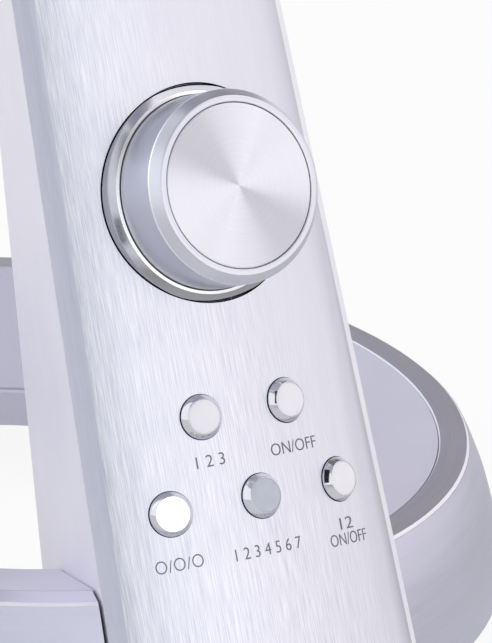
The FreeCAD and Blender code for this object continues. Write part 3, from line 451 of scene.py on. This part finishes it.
refinedPieces = {
    # node: its piece and the width of its broken edges
    "front_panel": ("columnFront", 0.12),
    "column_shell": ("columnShell", 0.15),
    "base_housing": ("ringHousing", 0.12),
    "night_light_diffuser": ("ringDish", 0.1),
    "inner_collar": ("ringCollar", 0.1),
    "head_housing": ("headShell", 0.15),
    "head_diffuser": ("headDiffuser", 0.1),
    "column_yoke": ("neckYoke", 0.1),
    "tilt_knuckle": ("neckKnuckle", 0.1),
    "hinge_caps": ("hingeCaps", 0.08),
}
made = {}
for nodeName, (pieceName, edge) in refinedPieces.items():
    made[pieceName] = refined(nodeName, pieceName, edge)
    tell("%s: %d faces" % (pieceName, len(made[pieceName].data.polygons)))

front = made["columnFront"]
# how far the faces turn to the side, and the left cut's also to the front
frontCuts = {"left": 0.5, "right": 0.4}
# the left cut gets the greyer metal: painted shade
coat(front, paintedShadeStripFinish, lambda part: part.normal.x < -frontCuts["left"]
     and part.normal.dot(inward) < -frontCuts["left"])
# the right cut gets the paler satin so that it stands as a bright line down the edge: painted light
coat(front, finishes["satin_aluminium"], lambda part: part.normal.x > frontCuts["right"])
housing = made["ringHousing"]
housing.data.materials[0] = ringFinish
# the rim's top faces get the paler metal: painted light
coat(housing, paintedLightRimFinish, lambda part: between(part.normal.z, ring["rimFacing"])
     and part.center.z > ring["rimHeight"] * mm)
# the mouth's bevel gets the bright metal: a painted highlight line
coat(housing, paintedHighlightFinish, lambda part: between(part.normal.z, ring["mouthFacing"])
     and part.center.z > ring["mouthHeight"] * mm
     and fromRingAxis(part.center) < ring["mouthWithin"] * mm)
# the outer shoulder gets the pale satin: a painted highlight line round the ring
coat(housing, finishes["satin_aluminium"], lambda part: between(part.normal.z, ring["shoulderFacing"])
     and part.center.z > ring["shoulderHeight"] * mm
     and fromRingAxis(part.center) > ring["shoulderBeyond"] * mm)

# the dish's edge is pressed home, so no dark gap shows beside it
dish = {"edge": 92.85, "growth": 1.0022}
pick(made["ringDish"])
for vertex in made["ringDish"].data.vertices:
    vertex.select = fromRingAxis(vertex.co) > dish["edge"] * mm
bpy.ops.object.mode_set(mode="EDIT")
bpy.ops.mesh.select_mode(type="VERT")
bpy.ops.transform.resize(value=(dish["growth"], dish["growth"], 1), center_override=ringPlace)
bpy.ops.object.mode_set(mode="OBJECT")


# Turned pieces: the knob, its cup and the buttons

def turned(name, profile, segments, hollow=False):
    # a circle drawn out ring by ring, as on a lathe; profile: (radius, height) pairs
    deselect()
    radius, height = profile[0]
    bpy.ops.mesh.primitive_circle_add(vertices=segments, radius=radius * mm,
                                      fill_type="NOTHING" if hollow else "NGON")
    piece = bpy.context.object
    piece.name = piece.data.name = name
    bpy.ops.object.mode_set(mode="EDIT")
    bpy.ops.mesh.select_all(action="SELECT")
    bpy.ops.transform.translate(value=(0, 0, height * mm))
    for nextRadius, nextHeight in profile[1:] + (profile[:1] if hollow else []):
        bpy.ops.mesh.extrude_region_move(
            TRANSFORM_OT_translate={"value": (0, 0, (nextHeight - height) * mm)})
        grow = nextRadius / radius
        bpy.ops.transform.resize(value=(grow, grow, 1), center_override=(0, 0, nextHeight * mm))
        radius, height = nextRadius, nextHeight
    bpy.ops.mesh.select_all(action="SELECT")
    bpy.ops.mesh.remove_doubles(threshold=weld)
    bpy.ops.mesh.normals_make_consistent(inside=False)
    bpy.ops.object.mode_set(mode="OBJECT")
    return piece


def fitted(piece, matrix, edge, body, slot, material, *nodes):
    placed(piece, matrix)
    softenEdges(piece, edge)
    piece.data.materials.append(material)
    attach(piece, body)
    if nodes:
        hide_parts(*nodes)


shadowRing = {"depth": 0.3, "rise": 0.05, "segments": 128}


def paintedShadowRing(name, inner, width, matrix):
    # a thin near-black ring that lies on the curved front round a hole: a painted shadow line in the gap
    outer, low, high = inner + width, -shadowRing["depth"], shadowRing["rise"]
    band = turned(name, [(inner, low), (outer, low), (outer, high), (inner, high)], shadowRing["segments"],
                  hollow=True)
    for vertex in band.data.vertices:
        vertex.co.z -= frontRadius - math.sqrt(frontRadius ** 2 - vertex.co.x ** 2)
    fitted(band, matrix, 0.0, "stand", "black_nylon", paintedShadowFinish)


knob = {
    # heights count from the front, outwards
    "segments": 256, "radius": 20.5, "reach": 14.3, "sink": 1.5, "shaftHole": 3.6,
    "wall": 3.2, "hollowTop": 3.0, "rounding": 0.2,
    "chamferWidth": 1.7, "chamferHeight": 2.4, "recess": 17.45,
    "shoulderFacing": (0.08, 0.5),     # how far the bright rounding of the shoulder turns to the front
}
disc = {"radius": 17.25, "thickness": 1.2, "dish": 0.15, "edge": 0.3, "centre": 0.5, "rounding": 0.05}
cup = {
    "inner": 20.65, "radius": 23.0, "rise": 0.3, "edge": 1.6, "depth": 9.0, "floor": 7.0, "rounding": 0.15,
    "lipRadius": 21.3, "lipRise": 0.2, "lipWidth": 0.2, "shadowRingGap": 0.01, "shadowRingWidth": 0.2,
    "wallFacing": 0.97,                # faces that turn less to the front than this are walls
    "lipFacing": 0.5, "lipReach": 21.35,
}
knobFrame = facing(knobOut, knobPlace)
faceRadius = knob["radius"] - knob["chamferWidth"]
shoulder = knob["reach"] - knob["chamferHeight"]
hollowRadius = knob["radius"] - knob["wall"]
floorHeight = knob["reach"] - disc["thickness"]
skirt = turned("knobSkirt", [
    (knob["shaftHole"], knob["hollowTop"]), (hollowRadius, knob["hollowTop"]),
    (hollowRadius, -knob["sink"]), (knob["radius"], -knob["sink"]),
    (knob["radius"], shoulder), (faceRadius, knob["reach"]), (knob["recess"], knob["reach"]),
    (knob["recess"], floorHeight), (knob["shaftHole"], floorHeight)], knob["segments"], hollow=True)
fitted(skirt, knobFrame, knob["rounding"], "knob", "satin_aluminium", skirtFinish, "knob_body")
# the shoulder's rounding gets the bright metal: a painted highlight line
coat(skirt, paintedHighlightFinish, lambda part: between(part.normal.dot(knobOut), knob["shoulderFacing"])
     and part.center.dot(knobOut) > knobPlace.dot(knobOut))

face = turned("knobFace", [
    (disc["radius"], floorHeight), (disc["radius"], knob["reach"] - disc["dish"]),
    (disc["radius"] - disc["edge"], knob["reach"]),
    (disc["centre"], knob["reach"] - disc["dish"])], knob["segments"])
fitted(face, knobFrame, disc["rounding"], "knob", "spun_aluminium", finishes["spun_aluminium"], "knob_disc")

lipHeight = cup["rise"] + cup["lipRise"]
bezel = turned("knobCup", [
    (knob["shaftHole"], -cup["depth"]), (cup["radius"], -cup["depth"]),
    (cup["radius"], cup["rise"] - cup["edge"] / 2), (cup["radius"] - cup["edge"], cup["rise"]),
    (cup["lipRadius"], cup["rise"]), (cup["inner"] + cup["lipWidth"], lipHeight),
    (cup["inner"], lipHeight), (cup["inner"], -cup["floor"]),
    (knob["shaftHole"], -cup["floor"])], knob["segments"], hollow=True)
fitted(bezel, knobFrame, cup["rounding"], "stand", "chrome_plate", finishes["chrome_plate"], "knob_bezel")
# the cup's walls and bevel get the darker chrome: painted shade
coat(bezel, paintedShadeCupWallFinish, lambda part: part.normal.dot(knobOut) < cup["wallFacing"])


def fromKnobAxis(point):
    arm = point - knobPlace
    return (arm - knobOut * arm.dot(knobOut)).length


# the cup's lip gets the bright metal: a painted highlight ring
coat(bezel, paintedHighlightFinish, lambda part: part.normal.dot(knobOut) > cup["lipFacing"]
     and fromKnobAxis(part.center) < cup["lipReach"] * mm)
# a painted shadow line round the knob's cup
paintedShadowRing("cupShadowRing", cup["radius"] + cup["shadowRingGap"], cup["shadowRingWidth"], knobFrame)
tell("knob turned")

button = {
    # heights count from the front, outwards
    "segments": 96, "radius": 4.7, "proud": 1.8, "edge": 1.4, "sink": 5.0, "rim": 0.12, "rounding": 0.06,
    "lensRadius": 3.6, "lensThickness": 0.8, "lensEdge": 0.2, "lensCrown": 0.05, "lensGap": 0.03,
    "shadowRingGap": 0.02, "shadowRingWidth": 0.13,
}
pocket = button["lensRadius"] + button["lensGap"]
pocketFloor = button["proud"] - button["lensThickness"]
# the lit window glows; the night-light window's blue-grey is painted shade
lensFinishes = {"rgb": litFinish, "night_light": dimFinish}
for jointName in joints:
    if not jointName.endswith("_press"):
        continue
    name = jointName[:-len("_press")]
    out = -Vector(joints[jointName]["axis"]).normalized()
    row = (middle(name + "_lens") - columnPlace).dot(columnUp)
    crown = columnPlace + columnUp * row + inward * frontRadius
    seat = facing(out, crown + out * frontRadius)
    # a painted shadow line round the button
    paintedShadowRing(name + "ShadowRing", button["radius"] + button["shadowRingGap"], button["shadowRingWidth"], seat)
    cap = turned(name + "Cap", [
        (button["radius"], -button["sink"]), (button["radius"], button["proud"] - button["edge"]),
        (pocket + button["rim"], button["proud"]), (pocket, button["proud"]),
        (pocket, pocketFloor)], button["segments"])
    fitted(cap, seat, button["rounding"], "button_" + name, "chrome_plate", finishes["chrome_plate"],
           name + "_button")
    lens = turned(name + "Window", [
        (button["lensRadius"], pocketFloor), (button["lensRadius"], button["proud"] - button["lensEdge"] / 2),
        (button["lensRadius"] - button["lensEdge"], button["proud"]),
        (button["lensRadius"] / 2, button["proud"] + button["lensCrown"])], button["segments"])
    fitted(lens, seat, 0.0, "button_" + name, "button_lens", lensFinishes.get(name, finishes["button_lens"]),
           name + "_lens")
tell("five buttons turned")


# Printed marks beside the buttons

label = {
    "capHeight": 2.7, "capShare": 0.73,      # a capital's height, and its share of the letter size
    "thickness": 0.03, "lift": 0.01, "weight": -0.02, "curveSteps": 6,
    # words or plain symbols, place across the front, height up the column, width
    "marks": {
        "powerMark": ("ON/OFF", 10.55, 29.36, 12.2),
        "nightPowerMark": ("ON/OFF", 21.2, 7.87, 11.0),
        "nightNumberMark": ("12", 21.2, 11.1, 3.8),
        "warmthMark": ("1 2 3", -10.25, 29.85, 6.6),
        "colourMark": ("○/○/○", -21.2, 9.95, 10.6),
        "nightMark": ("1 2 3 4 5 6 7", -0.45, 9.35, 16.3),
    },
}


def bentOntoFront(piece, across, up):
    # rolls a flat mark round the front's cylinder
    for vertex in piece.data.vertices:
        angle = (across * mm + vertex.co.x) / frontRadius
        reach = frontRadius + vertex.co.z
        vertex.co = (columnPlace + Vector((reach * math.sin(angle), 0, 0))
                     + columnUp * (up * mm + vertex.co.y) + inward * (frontRadius - reach * math.cos(angle)))


for name, (words, across, up, width) in label["marks"].items():
    deselect()
    bpy.ops.object.text_add()
    mark = bpy.context.object
    mark.name = name
    mark.data.body = words
    mark.data.size = label["capHeight"] * mm / label["capShare"]
    mark.data.extrude = label["thickness"] / 2 * mm
    mark.data.offset = label["weight"] * mm
    mark.data.resolution_u = label["curveSteps"]
    bpy.ops.object.convert(target="MESH")
    mark = bpy.context.object
    xs = [vertex.co.x for vertex in mark.data.vertices]
    ys = [vertex.co.y for vertex in mark.data.vertices]
    tell("%s %.2f x %.2f mm" % (name, (max(xs) - min(xs)) / mm, (max(ys) - min(ys)) / mm))
    squeeze = width * mm / (max(xs) - min(xs))
    shift = Vector((-(max(xs) + min(xs)) / 2, -(max(ys) + min(ys)) / 2,
                    (label["thickness"] / 2 + label["lift"]) * mm))
    for vertex in mark.data.vertices:
        vertex.co += shift
        vertex.co.x *= squeeze
    bentOntoFront(mark, across, up)
    mark.data.materials.clear()
    mark.data.materials.append(inkFinish)
    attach(mark, "stand")
tell("marks printed")


# Floor, light and camera

studio = {
    "level": 1.11,
    # the light from the camera's left is a hair bluer than the light from its right
    "leftTint": "FBFDFF", "rightTint": "FFFBFA", "tintSpan": (-0.5, 0.7),
    # direction, inner and outer half angle, brightness
    "cards": {
        "overhead": ((0.41, 0.0, 0.91), 29, 35, 0.22),
        "backGlow": ((-0.23, 0.93, 0.29), 28, 48, 1.39),
        "frontGlow": ((0.16, -0.96, 0.21), 14, 24, 1.50),
        "rightDrape": ((0.60, 0.62, 0.51), 21, 26, 0.38),
        "backBoard": ((0.51, 0.57, 0.64), 6, 9, 0.08),
        "leftOverhead": ((-0.35, 0.0, 0.94), 20, 25, 0.51),
    },
    # black strips that give the chrome its dark streaks: both ends, half width, brightness
    "flags": {
        "cameraFlag": ((-0.50, -0.13, 0.86), (-0.80, -0.56, 0.23), 6, 0.02),
        "standFlag": ((-0.37, -0.88, 0.29), (-0.34, -0.93, 0.14), 2, 0.02),
    },
    "flagSoftness": 1,
    # grey V-shaped boards with the point where the knob's face mirrors the room: both edges, brightness
    "boardPoint": (0.51, -0.75, 0.44), "boardStart": 9, "boardEnd": 47,
    "boards": {
        "rightBoard": ((0.29, -0.24, 0.92), (-0.06, -0.41, 0.91), 0.50),
        "leftBoard": ((-0.14, -0.45, 0.88), (-0.41, -0.67, 0.62), 0.33),
    },
}
# sizes here are metres
ground = {
    "size": 60, "colour": "F2F2F4", "glowShare": 0.9,
    # what the mirror images show of the floor: its own level, dark cards that lie on it, and the lamp's own
    # shadow painted beside it
    "level": 0.72,
    # place, inner and outer radius, brightness
    "cards": {
        "rightCloth": ((0.32, -0.33, 0.0), 0.15, 0.42, 0.42),
        "frontCloth": ((-0.25, -0.60, 0.0), 0.20, 0.58, 0.40),
        "ownShade": ((0.18, 0.10, 0.0), 0.05, 0.14, 0.60),
    },
}


def studioFloor():
    deselect()
    bpy.ops.mesh.primitive_plane_add(size=ground["size"])
    floor = bpy.context.object
    floor.name = "studioFloor"
    material = bpy.data.materials.new("paleStudioFloor")
    material.use_nodes = True
    # its glow is for mirror images only, so no lamp samples are spent on it
    material.cycles.emission_sampling = "NONE"
    tree = material.node_tree
    tree.nodes.clear()
    paths = addNode(tree, "ShaderNodeLightPath").outputs
    seen = maths(tree, "MAXIMUM", paths["Is Camera Ray"], paths["Is Glossy Ray"])
    seen = maths(tree, "MAXIMUM", seen, paths["Is Transmission Ray"])
    spot = addNode(tree, "ShaderNodeTexCoord").outputs["Object"]
    level = ground["level"]
    for place, inner, outer, brightness in ground["cards"].values():
        nearness = smoothRanged(tree, vectorMaths(tree, "DISTANCE", spot, place), outer, inner)
        level = mixed(tree, nearness, level, brightness)
    strength = mixed(tree, paths["Is Glossy Ray"], 1.0, level)
    white = addNode(tree, "ShaderNodeEmission", {"Color": linear("FFFFFF"), "Strength": strength}).outputs[0]
    matt = addNode(tree, "ShaderNodeBsdfDiffuse", {"Color": linear(ground["colour"])}).outputs[0]
    share = maths(tree, "MULTIPLY", seen, ground["glowShare"])
    mix = addNode(tree, "ShaderNodeMixShader", {0: share, 1: matt, 2: white}).outputs[0]
    addNode(tree, "ShaderNodeOutputMaterial", {"Surface": mix})
    floor.data.materials.append(material)


def studioWorld():
    world = bpy.data.worlds.new("paleStudio")
    bpy.context.scene.world = world
    world.use_nodes = True
    tree = world.node_tree
    tree.nodes.clear()
    ray = addNode(tree, "ShaderNodeTexCoord").outputs["Generated"]
    soft = math.radians(studio["flagSoftness"])
    level = studio["level"]
    for direction, inner, outer, brightness in studio["cards"].values():
        towards = vectorMaths(tree, "DOT_PRODUCT", ray, Vector(direction).normalized())
        share = smoothRanged(tree, towards, math.cos(math.radians(outer)), math.cos(math.radians(inner)))
        level = mixed(tree, share, level, brightness)

    for one, other, halfWidth, brightness in studio["flags"].values():
        one, other = Vector(one).normalized(), Vector(other).normalized()
        centre = (one + other).normalized()
        reach = math.acos(one.dot(centre))
        near = math.radians(halfWidth)
        far = near + soft
        aside = vectorMaths(tree, "DOT_PRODUCT", ray, centre.cross((other - one).normalized()))
        inWidth = ranged(tree, maths(tree, "ABSOLUTE", aside), math.sin(far), math.sin(near))
        along = vectorMaths(tree, "DOT_PRODUCT", ray, centre)
        inLength = ranged(tree, along, math.cos(reach + far), math.cos(reach + near))
        level = mixed(tree, maths(tree, "MULTIPLY", inWidth, inLength), level, brightness)

    point = Vector(studio["boardPoint"]).normalized()
    start, end = math.radians(studio["boardStart"]), math.radians(studio["boardEnd"])
    out = vectorMaths(tree, "DOT_PRODUCT", ray, point)
    past = ranged(tree, out, math.cos(start - soft), math.cos(start + soft))
    within = ranged(tree, out, math.cos(end + soft), math.cos(end - soft))
    depth = maths(tree, "MULTIPLY", past, within)
    for one, other, brightness in studio["boards"].values():
        share = depth
        for edge, inside in ((one, other), (other, one)):
            normal = point.cross(Vector(edge)).normalized()
            normal *= math.copysign(1, normal.dot(Vector(inside)))
            over = vectorMaths(tree, "DOT_PRODUCT", ray, normal)
            over = ranged(tree, over, -math.sin(soft), math.sin(soft))
            share = maths(tree, "MULTIPLY", share, over)
        level = mixed(tree, share, level, brightness)

    # the camera sees plain white behind the lamp
    paths = addNode(tree, "ShaderNodeLightPath").outputs
    seen = maths(tree, "MAXIMUM", paths["Is Camera Ray"], paths["Is Transmission Ray"])
    strength = mixed(tree, seen, level, 1.0)
    across = addNode(tree, "ShaderNodeSeparateXYZ", {0: ray}).outputs[0]
    side = smoothRanged(tree, across, *studio["tintSpan"])
    tint = mixedColour(tree, side, linear(studio["leftTint"]), linear(studio["rightTint"]))
    tint = mixedColour(tree, seen, tint, linear("FFFFFF"))
    glow = addNode(tree, "ShaderNodeBackground", {"Color": tint, "Strength": strength}).outputs[0]
    addNode(tree, "ShaderNodeOutputWorld", {"Surface": glow})


# sizes and places here are metres
light = {"place": (1.0, -0.3, 1.5), "aim": (0, 0.05, 0.1), "size": 1.2, "watts": 5}
camera = {
    "place": (-0.710594, -1.040976, 0.587840), "turn": -34.112, "tilt": 21.489, "roll": 2.874,
    "lens": 366.39, "farthest": 100,
}


def softBox():
    place = Vector(light["place"])
    aim = (Vector(light["aim"]) - place).to_track_quat("-Z", "Y").to_euler()
    deselect()
    bpy.ops.object.light_add(type="AREA", location=place, rotation=aim)
    lamp = bpy.context.object
    lamp.name = "softBox"
    lamp.data.size = light["size"]
    lamp.data.energy = light["watts"]


def studioCamera():
    turn = (Matrix.Rotation(math.radians(camera["turn"]), 3, "Z")
            @ Matrix.Rotation(math.radians(90 - camera["tilt"]), 3, "X")
            @ Matrix.Rotation(math.radians(camera["roll"]), 3, "Z"))
    deselect()
    bpy.ops.object.camera_add(location=camera["place"], rotation=turn.to_euler())
    eye = bpy.context.object
    eye.name = "studioCamera"
    eye.data.lens = camera["lens"]
    eye.data.clip_end = camera["farthest"]
    bpy.context.scene.camera = eye


studioFloor()
studioWorld()
softBox()
studioCamera()
bpy.context.scene.view_settings.view_transform = "Standard"
tell("studio set")
